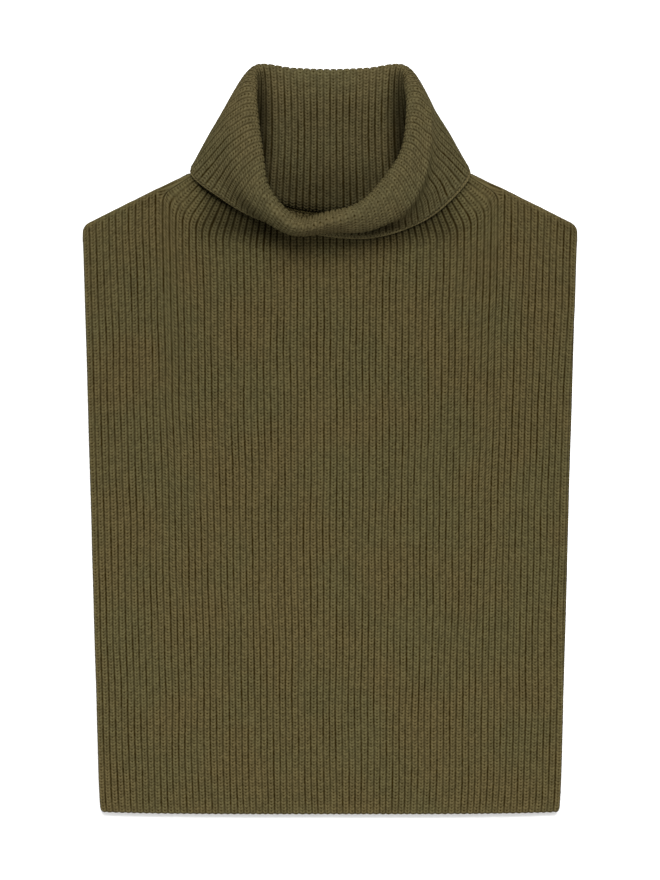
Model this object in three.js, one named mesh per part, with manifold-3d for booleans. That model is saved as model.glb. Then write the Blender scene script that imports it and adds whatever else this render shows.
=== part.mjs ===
// Roll-neck dickey (neck gaiter with a front and a back panel), laid flat on its back.
// Millimetres. X runs across, +Y runs up to the collar, +Z up from the surface it lies on.
import * as THREE from 'three';
import { ParametricGeometry } from 'three/addons/geometries/ParametricGeometry.js';
import { mergeVertices } from 'three/addons/utils/BufferGeometryUtils.js';
import Module from 'manifold-3d';

const wasm = await Module();
wasm.setup();

// ---- Driving dimensions -------------------------------------------------------------------
const SHOULDER_HALF_WIDTH = 190; // centre line to shoulder tip
const HEM_HALF_WIDTH = 177; // centre line to the side edge at the hem
const SHOULDER_TIP_Y = 163;
const HEM_Y = -287.6;
const SHOULDER_DROP = 40.5; // how far a shoulder falls from the neck to its tip
const NECK_HALF_WIDTH = 97; // centre line to where the neckline meets the shoulder
const FRONT_NECK_DEPTH = 42; // neck point down to the front neckline
const BACK_NECK_DEPTH = 24; // neck point down to the back neckline
const COLLAR_HEIGHT = 85.5; // neck point up to the top of the collar as it lies
const ROLL_HEIGHT = 48; // the folded front of the collar above the table
const KNIT = 4; // thickness of the ribbed knit
const SEAM_YARN = 1.3; // radius of the linking chains and of the bound-off edge
const SHOULDER_SEAM_WIDTH = 3;
const BEND_BELOW_NECK = 16; // front neckline down to the line that the front panel bends on
const CORNER_RADIUS = 4;
const PULL_TILT = Math.PI / 6; // the collar pulls up along +Y, tilted this much up off the table

// ---- Clearances ---------------------------------------------------------------------------
const SEWN_GAP = 0.3; // between pieces that are linked to each other
const FOLD_GAP = 0.5; // between the two walls at the fold
const LAYER_GAP = 0.3; // between the two panels
const COLLAR_LAYER_GAP = 2; // between the two walls of the collar at the back
const PULL_ROOM = 5 * SEAM_YARN; // travel in which the collar passes the neckline's yarn
const SEAM_REACH = 112 / 97; // share of the neck half width where the shoulder seams start

// ---- Levels and lines worked out from them ------------------------------------------------
const NECK_POINT_Y = SHOULDER_TIP_Y + SHOULDER_DROP;
const FRONT_BOTTOM_Z = KNIT + LAYER_GAP;
const FRONT_TOP_Z = FRONT_BOTTOM_Z + KNIT;
const UNDER_Z = KNIT / 2; // middle of the turned-down wall where it lies on the table
const INNER_Z = KNIT * 1.5 + COLLAR_LAYER_GAP; // middle of the standing wall above it
const OVER_Z = FRONT_TOP_Z + SEWN_GAP + KNIT / 2; // middle of a wall that rests on the front
const RING_FRONT_Z = FRONT_BOTTOM_Z + KNIT / 2;
const RING_BACK_Z = KNIT + SEAM_YARN + 2 * SEWN_GAP;
const BEND_Y = NECK_POINT_Y - FRONT_NECK_DEPTH - BEND_BELOW_NECK;
const EDGE_SETBACK = SEAM_YARN + SEWN_GAP;
const WALL_SETBACK = EDGE_SETBACK + SEWN_GAP;

// ---- Mesh density -------------------------------------------------------------------------
const LOOP_STEPS = 64;
const WALL_ROWS = 6;
const YARN_SIDES = 6;
const YARN_ROOM = EDGE_SETBACK / Math.cos(Math.PI / YARN_SIDES);
const NECK_POINTS = 18; // along half of the front neckline
const BACK_NECK_STEPS = 12;
const CORNER_STEPS = 4;
const CLOSING_POINTS = 9;
const CLOSING_STEPS = 16;
const SAME_POINT = 1e-3;
const MERGE_WITHIN = 1e-4;

// ---- The collar's shape -------------------------------------------------------------------
// Each loop runs round the collar from the front centre, by the right side, to the back centre,
// and is mirrored for the left. The points are drawn for the sizes in DRAWN and are graded to
// the driving dimensions. A point is [x, y above the neck point, level, height above the level].
const DRAWN = { neckHalfWidth: 97, neckDepth: 42, collarHeight: 85.5, rollHeight: 48 };

const STAND_WAIST = [
  [0, -32, OVER_Z, 10], [24, -29, OVER_Z, 10], [45, -20, OVER_Z, 8], [68, -3, OVER_Z, 5],
  [82, 18, INNER_Z, 4], [74, 29, INNER_Z, 0], [54, 30, INNER_Z, 0], [27, 29, INNER_Z, 0],
  [0, 29, INNER_Z, 0],
];
const STAND_MOUTH = [
  [0, -30, OVER_Z, 28], [24, -22, OVER_Z, 27], [42, -4, OVER_Z, 23], [54, 16, OVER_Z, 17],
  [60, 40, OVER_Z, 10], [60, 65, OVER_Z, 2], [54.5, 78, INNER_Z, 1], [28, 76, INNER_Z, 0],
  [0, 75, INNER_Z, 0],
];
const FOLD = [
  [0, -36, OVER_Z, 35.5], [27, -28, OVER_Z, 34], [47, -9, OVER_Z, 30], [60, 14, OVER_Z, 23.5],
  [66, 41, OVER_Z, 15], [65, 67, OVER_Z, 3], [57, 81, UNDER_Z, 4], [28, 79, UNDER_Z, 3],
  [0, 78, UNDER_Z, 3],
];
const ROLL_SHOULDER = [
  [0, -45.5, OVER_Z, 30], [30, -44, OVER_Z, 29], [59, -20, OVER_Z, 26], [72, 1, OVER_Z, 20],
  [77, 32, OVER_Z, 12], [73.5, 59, UNDER_Z, 5.5], [59, 77.5, UNDER_Z, 0.8], [28.5, 76, UNDER_Z, 0],
  [0, 75, UNDER_Z, 0],
];
const ROLL_SLOPE = [
  [0, -47.5, OVER_Z, 16], [31, -47, OVER_Z, 15], [60, -33, OVER_Z, 12], [79, -13, OVER_Z, 9],
  [94.5, 14, OVER_Z, 2], [84.5, 38, UNDER_Z, 0.8], [62, 40, UNDER_Z, 0], [30, 38, UNDER_Z, 0],
  [0, 38, UNDER_Z, 0],
];
const TURNED_EDGE = [
  [0, -45, OVER_Z, 1.4], [30, -45.5, OVER_Z, 1.2], [58, -39.5, OVER_Z, 1], [83, -26, OVER_Z, 1],
  [106, -0.5, OVER_Z, 0.8], [98, 8.5, UNDER_Z, 1], [64, 4.5, UNDER_Z, 0], [32, 3.5, UNDER_Z, 0],
  [0, 3, UNDER_Z, 0],
];

// ---- Materials ----------------------------------------------------------------------------
const knit = (color) => new THREE.MeshStandardMaterial({ color, roughness: 0.92, metalness: 0 });
const PANEL_KNIT = knit(0x544b2c);
const COLLAR_KNIT = knit(0x58503a);
const YARN = knit(0x5f5736);

// ---- Helpers ------------------------------------------------------------------------------
function mirroredLoop(half) {
  const left = half.slice(1, -1).reverse().map((p) => new THREE.Vector3(-p.x, p.y, p.z));
  return new THREE.CatmullRomCurve3([...half, ...left], true, 'centripetal');
}

function gradedLoop(points) {
  const across = NECK_HALF_WIDTH / DRAWN.neckHalfWidth;
  const above = COLLAR_HEIGHT / DRAWN.collarHeight;
  const below = FRONT_NECK_DEPTH / DRAWN.neckDepth;
  const up = ROLL_HEIGHT / DRAWN.rollHeight;
  return mirroredLoop(points.map(([x, y, level, lift]) =>
    new THREE.Vector3(x * across, NECK_POINT_Y + y * (y > 0 ? above : below), level + lift * up)));
}

// The front neckline is half an ellipse, and the back one a dip that starts level.
const frontNeckline = (x) =>
  NECK_POINT_Y - FRONT_NECK_DEPTH * Math.sqrt(1 - (x / NECK_HALF_WIDTH) ** 2);
const backNeckline = (x) =>
  NECK_POINT_Y - BACK_NECK_DEPTH * Math.cos(x / NECK_HALF_WIDTH * Math.PI / 2) ** 2;

// Where the neckline's points lie, as shares of the neck half width.
const FRONT_SHARES = [0, 0.27, 0.53, 0.78, 0.97];
const BACK_SHARES = [0.86, 0.56, 0.28, 0];

function necklineRing() {
  const front = FRONT_SHARES.map((share) => share * NECK_HALF_WIDTH);
  const back = BACK_SHARES.map((share) => share * NECK_HALF_WIDTH);
  return mirroredLoop([
    ...front.map((x) => new THREE.Vector3(x, frontNeckline(x), RING_FRONT_Z)),
    ...back.map((x) => new THREE.Vector3(x, backNeckline(x), RING_BACK_Z)),
  ]);
}

// A closed solid from a grid of points that wraps round both ways.
function closedGrid(pointAt, loopSteps, sectionSteps) {
  const grid = new ParametricGeometry((u, v, target) => {
    const i = Math.round(u * loopSteps) % loopSteps;
    const j = Math.round(v * sectionSteps) % sectionSteps;
    target.copy(pointAt(i, j));
  }, loopSteps, sectionSteps);
  grid.deleteAttribute('normal');
  grid.deleteAttribute('uv');
  return mergeVertices(grid, MERGE_WITHIN);
}

function asSolid(geometry) {
  return new wasm.Manifold(new wasm.Mesh({
    numProp: 3,
    vertProperties: new Float32Array(geometry.attributes.position.array),
    triVerts: new Uint32Array(geometry.index.array),
  }));
}

// Takes the cutter's room out of a piece and keeps the piece's main body.
function cutBy(geometry, cutter) {
  const bodies = asSolid(geometry).subtract(asSolid(cutter)).decompose();
  const main = bodies.reduce((a, b) => (a.volume() > b.volume() ? a : b)).getMesh();
  const result = new THREE.BufferGeometry();
  result.setAttribute('position', new THREE.BufferAttribute(main.vertProperties, 3));
  result.setIndex(new THREE.BufferAttribute(main.triVerts, 1));
  return result;
}

function piece(name, geometry, material, z = 0) {
  const mesh = new THREE.Mesh(geometry, material);
  mesh.name = name;
  mesh.position.z = z;
  return mesh;
}

// ---- Collar -------------------------------------------------------------------------------
const RING = necklineRing();
const COLLAR_LOOPS = [
  RING,
  ...[STAND_WAIST, STAND_MOUTH, FOLD, ROLL_SHOULDER, ROLL_SLOPE, TURNED_EDGE].map(gradedLoop),
];
const FOLD_AT = 3 / 6; // the fold is loop 3 of 0 to 6

// One rib column of the collar, from the neckline over the fold to the turned-down edge.
function ribColumn(u) {
  return new THREE.CatmullRomCurve3(COLLAR_LOOPS.map((loop) => loop.getPoint(u)),
    false, 'centripetal');
}

const COLUMNS = Array.from({ length: LOOP_STEPS }, (_, i) => ribColumn(i / LOOP_STEPS));
const column = (i) => COLUMNS[(i + LOOP_STEPS) % LOOP_STEPS];

const around = (i, t) => column(i + 1).getPoint(t).sub(column(i - 1).getPoint(t)).normalize();

// How the column moves for each unit of t, measured over a short stretch.
const STRETCH = 1e-3;

function along(i, t) {
  const low = Math.max(0, t - STRETCH);
  const high = Math.min(1, t + STRETCH);
  return column(i).getPoint(high).sub(column(i).getPoint(low)).divideScalar(high - low);
}

const surfaceNormal = (i, t) => around(i, t).cross(along(i, t)).normalize();

// Middle of the knit, which can't sink below where it rests on the table.
function middleOfWall(i, t) {
  const p = column(i).getPoint(t);
  p.z = Math.max(p.z, KNIT / 2);
  return p;
}

// The step of t that leaves a clear distance to the line round the collar at t.
const stepFor = (distance, i, t) => distance / around(i, t).cross(along(i, t)).length();

// The end faces of a wall are square to the fold or edge beside them.
const nearestLoop = (t) => Math.round(t / FOLD_AT) * FOLD_AT;

// A wall of knit between two places on each rib column.
function collarWall(startOf, endOf, thickness = KNIT) {
  const rows = WALL_ROWS + 1;
  return closedGrid((i, j) => {
    const start = startOf(i);
    const end = endOf(i);
    const inside = j >= rows;
    const row = inside ? 2 * rows - 1 - j : j;
    const t = start + (end - start) * row / WALL_ROWS;
    const squareTo = row === WALL_ROWS || row === 0 ? nearestLoop(t) : t;
    const offset = surfaceNormal(i, squareTo).multiplyScalar((inside ? -1 : 1) * thickness / 2);
    return middleOfWall(i, t).add(offset);
  }, LOOP_STEPS, 2 * rows);
}

const ringPath = COLUMNS.map((curve) => curve.getPoint(0));
const rimPath = COLUMNS.map((curve) => curve.getPoint(1));
const standStart = (i) => stepFor(WALL_SETBACK, i, 0);
const standEnd = (i) => FOLD_AT - stepFor(FOLD_GAP / 2, i, FOLD_AT);
const turnedStart = (i) => FOLD_AT + stepFor(FOLD_GAP / 2, i, FOLD_AT);
const turnedEnd = (i) => 1 - stepFor(WALL_SETBACK, i, 1);

// A ring of linking chain or bound-off yarn along one edge of the rib columns.
function yarnLoop(path, edge, radius = SEAM_YARN) {
  return closedGrid((i, j) => {
    const across = surfaceNormal(i, edge);
    const beside = across.clone().cross(around(i, edge));
    const angle = 2 * Math.PI * j / YARN_SIDES;
    return path[i].clone()
      .addScaledVector(across, radius * Math.cos(angle))
      .addScaledVector(beside, radius * Math.sin(angle));
  }, LOOP_STEPS, YARN_SIDES);
}

// The chain that closes the knitted collar into a tube, inside the turned-down wall at the left.
// It stops short of the fold and of the edge by shares of the whole rib column.
const CLOSING_COLUMN = Math.round(LOOP_STEPS * 0.73);
const CLOSING_FROM_FOLD = 0.12;
const CLOSING_FROM_EDGE = 0.06;

function closingSeam() {
  const standoff = KNIT / 2 + SEAM_YARN + SEWN_GAP;
  const first = turnedStart(CLOSING_COLUMN) + CLOSING_FROM_FOLD;
  const last = turnedEnd(CLOSING_COLUMN) - CLOSING_FROM_EDGE;
  const points = Array.from({ length: CLOSING_POINTS }, (_, k) => {
    const t = first + (last - first) * k / (CLOSING_POINTS - 1);
    const inward = surfaceNormal(CLOSING_COLUMN, t).multiplyScalar(-standoff);
    return column(CLOSING_COLUMN).getPoint(t).add(inward);
  });
  const section = new THREE.Shape();
  section.absarc(0, 0, SEAM_YARN, 0, Math.PI * 2);
  return new THREE.ExtrudeGeometry(section, {
    extrudePath: new THREE.CatmullRomCurve3(points), steps: CLOSING_STEPS, curveSegments: YARN_SIDES,
  });
}

// The standing wall leaves room for the neckline's yarn, at rest and as the collar is pulled up.
function standingWall() {
  let wall = collarWall(standStart, standEnd);
  for (let pulled = 0; pulled <= PULL_ROOM; pulled += SEAM_YARN) {
    const yarn = yarnLoop(ringPath, 0, YARN_ROOM);
    yarn.translate(0, -pulled * Math.cos(PULL_TILT), -pulled * Math.sin(PULL_TILT));
    wall = cutBy(wall, yarn);
  }
  return wall;
}

// The turned-down wall leaves room for the standing wall and for the yarn on its own edge.
function turnedWall() {
  const room = collarWall(standStart, () => FOLD_AT, KNIT + 2 * SEWN_GAP);
  const wall = cutBy(collarWall(turnedStart, turnedEnd), room);
  return cutBy(wall, yarnLoop(rimPath, 1, YARN_ROOM));
}

// ---- Panels -------------------------------------------------------------------------------
// The shoulder line is the outer edge of the shoulder seam, and the panels stop short of it.
const SHOULDER_SLOPE = SHOULDER_DROP / (SHOULDER_HALF_WIDTH - SEAM_REACH * NECK_HALF_WIDTH);
const SHOULDER_LENGTHEN = Math.hypot(1, SHOULDER_SLOPE);
const shoulderY = (x, setback) =>
  SHOULDER_TIP_Y + (SHOULDER_HALF_WIDTH - x) * SHOULDER_SLOPE - setback * SHOULDER_LENGTHEN;
const sideX = (y) => HEM_HALF_WIDTH
  + (SHOULDER_HALF_WIDTH - HEM_HALF_WIDTH) * (y - HEM_Y) / (SHOULDER_TIP_Y - HEM_Y);
const PANEL_SETBACK = SHOULDER_SEAM_WIDTH + SEWN_GAP;
const NECK_CORNER_Y = NECK_POINT_Y - SEWN_GAP;

// Right half of the front neckline, which follows the ring outside it up to the shoulder and
// stops where the ring turns back over the shoulder.
const FRONT_NECK_SHARE = 0.28; // of the whole ring
const TURNED_BACK = 0.3;

function frontNeckPoints() {
  const points = [];
  for (let k = 0; k <= NECK_POINTS; k += 1) {
    const u = FRONT_NECK_SHARE * k / NECK_POINTS;
    const p = RING.getPoint(u);
    const tangent = RING.getTangent(u);
    const outward = new THREE.Vector2(tangent.y, -tangent.x).normalize();
    const x = p.x + outward.x * EDGE_SETBACK;
    const y = p.y + outward.y * EDGE_SETBACK;
    if (outward.y > TURNED_BACK || y > NECK_CORNER_Y) break;
    points.push(new THREE.Vector2(x, y));
  }
  return points;
}

function backNeckPoints() {
  return Array.from({ length: BACK_NECK_STEPS + 1 }, (_, k) => {
    const x = NECK_HALF_WIDTH * k / BACK_NECK_STEPS;
    return new THREE.Vector2(x, backNeckline(x));
  });
}

// Half outline from the neckline's centre out over the shoulder to the side edge at lowY.
function halfOutline(neckPoints, lowY) {
  const cornerX = SHOULDER_HALF_WIDTH
    - (NECK_CORNER_Y - SHOULDER_TIP_Y + PANEL_SETBACK * SHOULDER_LENGTHEN) / SHOULDER_SLOPE;
  const tip = new THREE.Vector2(SHOULDER_HALF_WIDTH - SEWN_GAP, 0);
  tip.y = shoulderY(tip.x, PANEL_SETBACK);
  const alongShoulder = new THREE.Vector2(-1, SHOULDER_SLOPE).normalize();
  const round = new THREE.QuadraticBezierCurve(
    tip.clone().addScaledVector(alongShoulder, CORNER_RADIUS),
    tip,
    new THREE.Vector2(sideX(tip.y - CORNER_RADIUS), tip.y - CORNER_RADIUS),
  );
  return [
    ...neckPoints,
    new THREE.Vector2(Math.max(cornerX, neckPoints.at(-1).x + SEWN_GAP), NECK_CORNER_Y),
    ...round.getPoints(CORNER_STEPS),
    new THREE.Vector2(sideX(lowY), lowY),
  ];
}

function mirroredPanel(half) {
  const left = half.map((p) => new THREE.Vector2(-p.x, p.y)).reverse();
  const outline = [...half, ...left].filter((p, k, all) =>
    k === 0 || p.distanceTo(all[k - 1]) > SAME_POINT);
  if (outline[0].distanceTo(outline.at(-1)) < SAME_POINT) outline.pop();
  return new THREE.ExtrudeGeometry(new THREE.Shape(outline), { depth: KNIT, bevelEnabled: false });
}

function hemCorner() {
  const y = HEM_Y + CORNER_RADIUS;
  return new THREE.QuadraticBezierCurve(
    new THREE.Vector2(sideX(y), y),
    new THREE.Vector2(HEM_HALF_WIDTH, HEM_Y),
    new THREE.Vector2(HEM_HALF_WIDTH - CORNER_RADIUS, HEM_Y),
  ).getPoints(CORNER_STEPS);
}

function backPanel() {
  const outline = halfOutline(backNeckPoints(), HEM_Y + CORNER_RADIUS);
  return mirroredPanel([...outline, ...hemCorner()]);
}

function frontPanelUpper() {
  return mirroredPanel(halfOutline(frontNeckPoints(), BEND_Y + SEWN_GAP / 2));
}

function frontPanelLower() {
  const topY = BEND_Y - SEWN_GAP / 2;
  return mirroredPanel([new THREE.Vector2(sideX(topY), topY), ...hemCorner()]);
}

// Linking chain along one shoulder, laid over the edges of both panels.
function shoulderSeam(side) {
  const startX = SEAM_REACH * NECK_HALF_WIDTH;
  const endX = SHOULDER_HALF_WIDTH - CORNER_RADIUS / 2;
  const inner = SHOULDER_SEAM_WIDTH;
  const outline = [
    [startX, 0], [endX, 0], [endX + CORNER_RADIUS / 4, inner / 2], [endX, inner], [startX, inner],
  ].map(([x, setback]) => new THREE.Vector2(side * x, shoulderY(x, setback)));
  return new THREE.ExtrudeGeometry(new THREE.Shape(outline), {
    depth: FRONT_TOP_Z - 2 * SEWN_GAP, bevelEnabled: false,
  });
}

// ---- Assembly -----------------------------------------------------------------------------
const dickey = new THREE.Group();
dickey.add(
  piece('back_panel', backPanel(), PANEL_KNIT),
  piece('front_panel_upper', frontPanelUpper(), PANEL_KNIT, FRONT_BOTTOM_Z),
  piece('front_panel', frontPanelLower(), PANEL_KNIT, FRONT_BOTTOM_Z),
  piece('shoulder_seam_right', shoulderSeam(1), YARN, SEWN_GAP),
  piece('shoulder_seam_left', shoulderSeam(-1), YARN, SEWN_GAP),
  piece('neck_seam', yarnLoop(ringPath, 0), YARN),
  piece('collar_stand', standingWall(), COLLAR_KNIT),
  piece('collar_turnover', turnedWall(), COLLAR_KNIT),
  piece('collar_edge', yarnLoop(rimPath, 1), YARN),
  piece('collar_closing_seam', closingSeam(), YARN),
);

export default dickey;
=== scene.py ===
"""A ribbed-knit roll-neck dickey, laid flat on a pale table, with its panels, collar and linking chains."""
import logging
import math
from dataclasses import dataclass, field
from enum import Enum

import bpy
import numpy as np
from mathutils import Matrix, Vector

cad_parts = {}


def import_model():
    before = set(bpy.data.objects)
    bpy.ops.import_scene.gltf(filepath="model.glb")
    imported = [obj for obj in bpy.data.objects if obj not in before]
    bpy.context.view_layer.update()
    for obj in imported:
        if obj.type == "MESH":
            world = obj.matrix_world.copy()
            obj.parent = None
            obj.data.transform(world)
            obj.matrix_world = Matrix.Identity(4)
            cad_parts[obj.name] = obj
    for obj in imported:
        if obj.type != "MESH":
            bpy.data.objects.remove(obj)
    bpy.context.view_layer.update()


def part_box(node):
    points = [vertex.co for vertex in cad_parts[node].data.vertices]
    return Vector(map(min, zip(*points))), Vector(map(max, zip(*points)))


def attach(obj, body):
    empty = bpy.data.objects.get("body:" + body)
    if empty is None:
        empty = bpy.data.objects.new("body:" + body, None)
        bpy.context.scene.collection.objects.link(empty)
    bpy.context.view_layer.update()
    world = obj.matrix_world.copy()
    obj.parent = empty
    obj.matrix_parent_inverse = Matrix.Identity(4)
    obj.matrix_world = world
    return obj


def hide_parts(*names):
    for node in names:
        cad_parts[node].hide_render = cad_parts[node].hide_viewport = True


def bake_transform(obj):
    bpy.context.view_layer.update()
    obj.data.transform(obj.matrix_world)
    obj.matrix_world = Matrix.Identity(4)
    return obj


log = logging.getLogger("dickey")

MM = 0.001
DEPTH_AND_SHADE = "rib_depth_and_shade"
Colour = tuple[float, float, float]
Point = tuple[float, float, float]
Socket = bpy.types.NodeSocket
Material = bpy.types.Material
Piece = bpy.types.Object


class Side(Enum):
    """Which shoulder, as seen from above with the collar at the top."""

    LEFT = -1
    RIGHT = 1


class NodeMaker:
    """Adds shader nodes to one material, wiring each to the ones before it."""

    def __init__(self, material: Material) -> None:
        """Args:
        material: the material that the nodes go into.
        """
        material.use_nodes = True
        self.tree = material.node_tree
        self.shader = self.tree.nodes["Principled BSDF"]

    def add(self, kind: str, *inputs: object, **settings: object) -> bpy.types.Node:
        """Adds one node.

        Args:
            kind: the node's type name.
            inputs: values or output sockets for its inputs in order, None to leave one.
            settings: attributes to set before wiring.

        Returns:
            The new node.
        """
        node = self.tree.nodes.new(kind)
        for name, value in settings.items():
            setattr(node, name, value)
        for socket, value in zip(node.inputs, inputs):
            if isinstance(value, Socket):
                self.tree.links.new(value, socket)
            elif value is not None:
                socket.default_value = value
        return node

    def math(self, operation: str, *inputs: object) -> Socket:
        """Returns the output of a Math node."""
        return self.add("ShaderNodeMath", *inputs, operation=operation).outputs[0]

    def ramp(self, value: object, low: float, high: float, to_low: float, to_high: float) -> Socket:
        """Returns value carried smoothly from one range to another."""
        limits = (low, high, to_low, to_high)
        return self.add("ShaderNodeMapRange", value, *limits, interpolation_type="SMOOTHSTEP").outputs[0]

    def noise(self, vector: object, scale: float, detail: float = 2.0) -> Socket:
        """Adds a noise texture.

        Args:
            vector: where it is read.
            scale: how many of its features there are to a metre.
            detail: how many finer layers it has.

        Returns:
            Its grey value.
        """
        node = self.add("ShaderNodeTexNoise", vector)
        node.inputs["Scale"].default_value = scale
        node.inputs["Detail"].default_value = detail
        return node.outputs[0]

    def mix(self, factor: object, first: object, second: object, blend: str = "MIX") -> Socket:
        """Mixes two colours.

        Args:
            factor: the share of the second.
            first: a colour or a socket.
            second: a colour or a socket.
            blend: the way they mix.

        Returns:
            The mixed colour.
        """
        node = self.tree.nodes.new("ShaderNodeMix")
        node.data_type = "RGBA"
        node.blend_type = blend
        for index, value in ((0, factor), (6, first), (7, second)):
            if isinstance(value, Socket):
                self.tree.links.new(value, node.inputs[index])
            else:
                node.inputs[index].default_value = value
        return node.outputs[2]


    def paint(self, colour: Socket, shade: Socket) -> None:
        """Gives the shader a colour times a shade of grey."""
        grey = self.add("ShaderNodeCombineColor", shade, shade, shade).outputs[0]
        self.tree.links.new(self.mix(1.0, colour, grey, "MULTIPLY"), self.shader.inputs["Base Color"])

    def bump(self, strength: float, distance: float, height: Socket, normal: Socket | None = None) -> Socket:
        """Adds a bump.

        Args:
            strength: how strongly it shows, from 0 to 1.
            distance: its height in metres.
            height: the grey value that it follows.
            normal: the bump that it lies on, if any.

        Returns:
            The bumped normal.
        """
        node = self.add("ShaderNodeBump", strength, distance)
        self.tree.links.new(height, node.inputs["Height"])
        if normal is not None:
            self.tree.links.new(normal, node.inputs["Normal"])
        return node.outputs[0]


@dataclass(frozen=True)
class WoolFinish:
    """Carded wool: matte, softly fuzzy and a little mottled."""

    name: str
    crest: Colour
    # groove: on rib knit, painted shade in the grooves and between stitch legs; on plain yarn, its darker
    # fibres.
    groove: Colour
    roughness: float = 0.93
    sheen: float = 0.03
    specular: float = 0.02
    fibre_bump: float = 0.25
    sheen_roughness: float = 0.55
    sheen_tint: Colour = (0.6, 0.48, 0.15)

    def start(self) -> tuple[Material, NodeMaker]:
        """Starts a material with the wool's fixed values.

        Returns:
            The material and its node maker.
        """
        material = bpy.data.materials.new(self.name)
        nodes = NodeMaker(material)
        shader = nodes.shader
        shader.inputs["Roughness"].default_value = self.roughness
        shader.inputs["Specular IOR Level"].default_value = self.specular
        shader.inputs["Sheen Weight"].default_value = self.sheen
        shader.inputs["Sheen Roughness"].default_value = self.sheen_roughness
        shader.inputs["Sheen Tint"].default_value = (*self.sheen_tint, 1.0)
        return material, nodes


@dataclass(frozen=True)
class RibKnitFinish(WoolFinish):
    """Rib knit, read from a UV map that counts ribs and courses and from how deep its grooves are, where a
    depth past 1 paints shade.
    """

    faded: Colour = (0.05, 0.042, 0.014)
    stitch_slant: float = 0.5
    stitch_bump: float = 0.9
    stitch_dip: float = 0.95
    groove_start: float = 0.58
    groove_change: float = 0.35
    dip_change: float = 0.45
    # How much wider the dark grooves are drawn where shade is painted.
    groove_spread: float = 0.35
    groove_wander: float = 0.24
    # How much darker painted shade draws the knit.
    painted_shade_darkening: float = 0.6
    mottle: float = 0.13
    # Painted light falloff: the shade multiplier at the top of the garment, then at the hem.
    painted_falloff: tuple[float, float] = (0.89, 1.08)
    fibre_scale: float = 2400.0
    tuft_scale: float = 620.0
    cloud_scale: float = 17.0

    def build(self) -> Material:
        """Makes the knit's material, with V stitches along each rib.

        Returns:
            The material.
        """
        material, n = self.start()
        uv = n.add("ShaderNodeSeparateXYZ", n.add("ShaderNodeUVMap", uv_map="UVMap").outputs[0])
        across, along = uv.outputs[0], uv.outputs[1]
        position = n.add("ShaderNodeTexCoord").outputs["Object"]
        fibre = n.noise(position, self.fibre_scale)
        tuft = n.noise(position, self.tuft_scale, 1.0)

        aside = n.math("SUBTRACT", n.math("FRACT", across), 0.5)
        from_crest = n.math("MULTIPLY", n.math("ABSOLUTE", aside), 2.0)
        leg_phase = n.math("SUBTRACT", along, n.math("MULTIPLY", from_crest, self.stitch_slant))
        stitch = self.stitches(n, from_crest, leg_phase)
        cell = n.add("ShaderNodeCombineXYZ", n.math("FLOOR", n.math("MULTIPLY", across, 2.0)),
                     n.math("FLOOR", leg_phase), 0.0)
        each = n.add("ShaderNodeTexWhiteNoise", cell.outputs[0], noise_dimensions="3D").outputs[0]
        wander = n.math("MULTIPLY", n.math("SUBTRACT", tuft, 0.5), 2.0 * self.groove_wander)
        depth = n.add("ShaderNodeAttribute", attribute_name=DEPTH_AND_SHADE).outputs["Fac"]
        # The depth past 1 is painted shade rather than more relief.
        painted_shade = n.math("MAXIMUM", n.math("SUBTRACT", depth, 1.0), 0.0)
        groove = self.grooves(n, uv, n.math("ADD", from_crest, wander), painted_shade)
        groove = n.math("MULTIPLY", groove, n.math("MINIMUM", depth, 1.0))

        cloud = n.noise(position, self.cloud_scale, 3.0)
        crest = n.mix(n.ramp(cloud, 0.35, 0.65, 0.0, 1.0), (*self.crest, 1.0), (*self.faded, 1.0))
        # Painted shade: the dark groove colour is drawn into the grooves and into the dips between stitch
        # legs, on top of the shade that the relief casts.
        dip = n.math("MULTIPLY", n.math("SUBTRACT", 1.0, stitch), self.stitch_dip)
        dip = n.math("MULTIPLY", dip, n.ramp(tuft, 0.3, 0.7, 1.0 - self.dip_change, 1.0 + self.dip_change))
        colour = n.mix(n.math("MAXIMUM", groove, dip), crest, (*self.groove, 1.0))
        # Painted light falloff: the knit is drawn darker towards the top and lighter towards the hem, as the
        # lamps would light it.
        down = n.add("ShaderNodeSeparateXYZ", position).outputs[1]
        shade = n.math("MULTIPLY", n.ramp(down, -0.28, 0.2, self.painted_falloff[1], self.painted_falloff[0]),
                       n.ramp(each, 0.0, 1.0, 1.0 - self.mottle, 1.0 + self.mottle))
        shade = n.math("MULTIPLY", shade, n.ramp(fibre, 0.25, 0.75, 0.88, 1.12))
        # Painted shade: where the depth is past 1, the knit is drawn darker, standing in for shade in the
        # collar's hollows and under its edge.
        shade = n.math("MULTIPLY", shade, n.math("SUBTRACT", 1.0, n.math("MULTIPLY", painted_shade, self.painted_shade_darkening)))
        n.paint(colour, shade)
        fine = n.bump(self.fibre_bump, 0.3 * MM, fibre)
        n.tree.links.new(n.bump(self.stitch_bump, 0.8 * MM, stitch, fine), n.shader.inputs["Normal"])
        return material

    @staticmethod
    def stitches(n: NodeMaker, from_crest: Socket, phase: Socket) -> Socket:
        """Draws the legs of the V stitches.

        Args:
            n: the material's node maker.
            from_crest: 0 on a crest, growing to 1 in a groove.
            phase: courses counted along a leg.

        Returns:
            1 on a leg, and less between one leg and the next.
        """
        arch = n.math("SINE", n.math("MULTIPLY", n.math("FRACT", phase), math.pi))
        length = n.math("POWER", arch, 0.7)
        gap = n.math("MULTIPLY", n.math("SUBTRACT", 1.0, length), n.ramp(from_crest, 0.1, 0.4, 1.0, 0.4))
        leg = n.ramp(n.math("ABSOLUTE", n.math("SUBTRACT", from_crest, 0.46)), 0.0, 0.46, 1.0, 0.72)
        return n.math("MULTIPLY", n.math("SUBTRACT", 1.0, gap), leg)

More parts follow.
